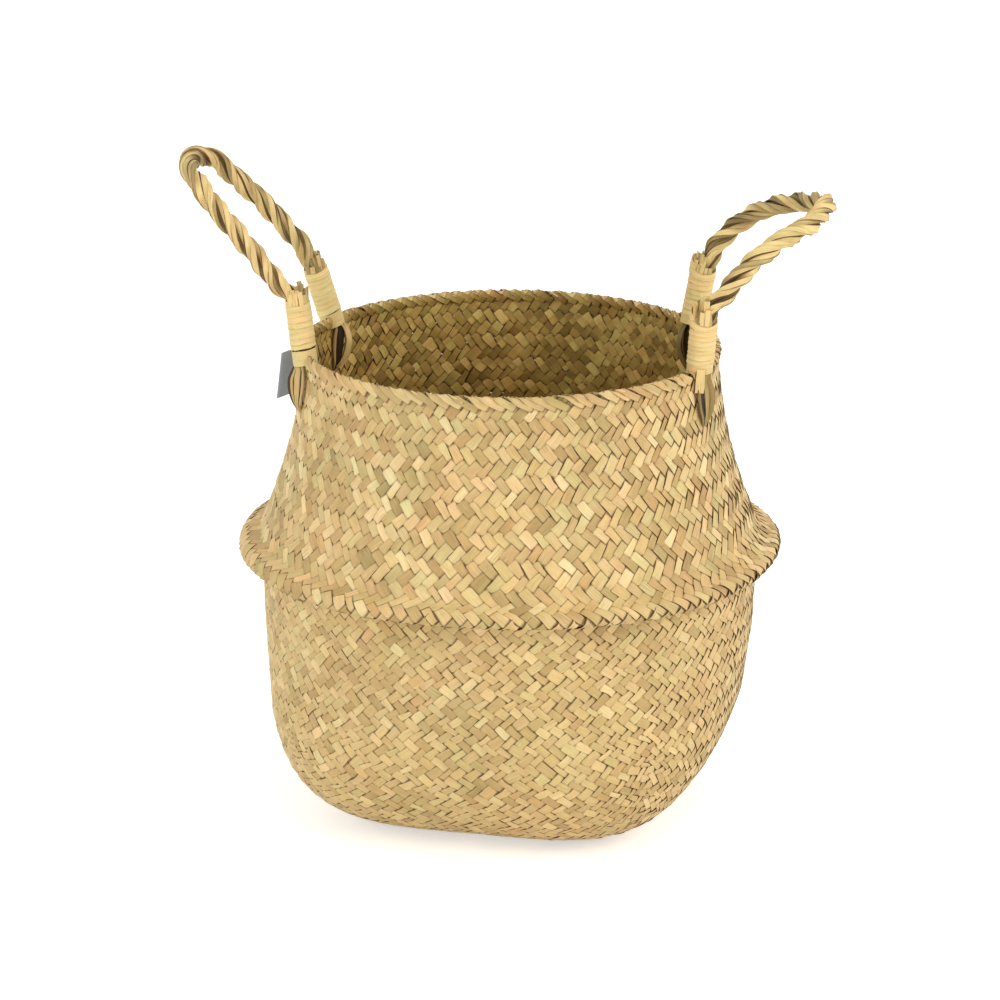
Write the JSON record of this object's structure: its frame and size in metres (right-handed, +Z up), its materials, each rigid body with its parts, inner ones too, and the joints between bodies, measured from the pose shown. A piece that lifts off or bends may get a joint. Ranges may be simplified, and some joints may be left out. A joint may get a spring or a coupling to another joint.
{
  "type": "belly basket",
  "caption": "Round woven straw basket with a softly square base, a folded belly ridge, an open mouth, twisted straw rope handles with wound feet, and a blank cloth label.",
  "frame": {"origin": "centre of the flat resting base, on the floor plane", "axes": "+Z up through the mouth; -Y is the pictured front; -X is the side of the taller handle and of the label; +X is the side of the other handle"},
  "size_m": [0.3514, 0.3, 0.3604],
  "materials": {
    "woven_straw": "matte",
    "rim_straw": "matte",
    "twisted_straw": "matte",
    "binding_strip": "satin",
    "foot_loop_straw": "matte",
    "grey_tape": "matte"
  },
  "bodies": {
    "lower_body": {"woven_base": "woven_straw", "turned_edge": "woven_straw", "lower_wall": "woven_straw", "belly_fold": "woven_straw"},
    "upper_body": {"upper_wall": "woven_straw", "rim_border": "rim_straw", "label": "grey_tape", "left_front_foot_loop": "foot_loop_straw", "left_back_foot_loop": "foot_loop_straw", "right_front_foot_loop": "foot_loop_straw", "right_back_foot_loop": "foot_loop_straw"},
    "left_handle": {"left_rope_ply_1": "twisted_straw", "left_rope_ply_2": "twisted_straw", "left_rope_ply_3": "twisted_straw", "left_front_straw_ends": "twisted_straw", "left_front_binding": "binding_strip", "left_back_straw_ends": "twisted_straw", "left_back_binding": "binding_strip"},
    "right_handle": {"right_rope_ply_1": "twisted_straw", "right_rope_ply_2": "twisted_straw", "right_rope_ply_3": "twisted_straw", "right_front_straw_ends": "twisted_straw", "right_front_binding": "binding_strip", "right_back_straw_ends": "twisted_straw", "right_back_binding": "binding_strip"}
  },
  "joints": [
    {"name": "belly_fold_slide", "type": "slide", "parent": "lower_body", "child": "upper_body", "axis": [0, 0, 1], "range_m": [-0.006, 0.014], "deforming": ["belly_fold"]},
    {"name": "left_handle_hinge", "type": "hinge", "parent": "upper_body", "child": "left_handle", "pos_m": [-0.103, 0.01493, 0.251], "axis": [-0.1435, -0.9897, 0], "range_deg": [-85, 45], "deforming": ["left_front_foot_loop", "left_back_foot_loop"]},
    {"name": "right_handle_hinge", "type": "hinge", "parent": "upper_body", "child": "right_handle", "pos_m": [0.09984, -0.00052, 0.251], "axis": [0.0052, 1, 0], "range_deg": [-85, 45], "deforming": ["right_front_foot_loop", "right_back_foot_loop"]}
  ]
}
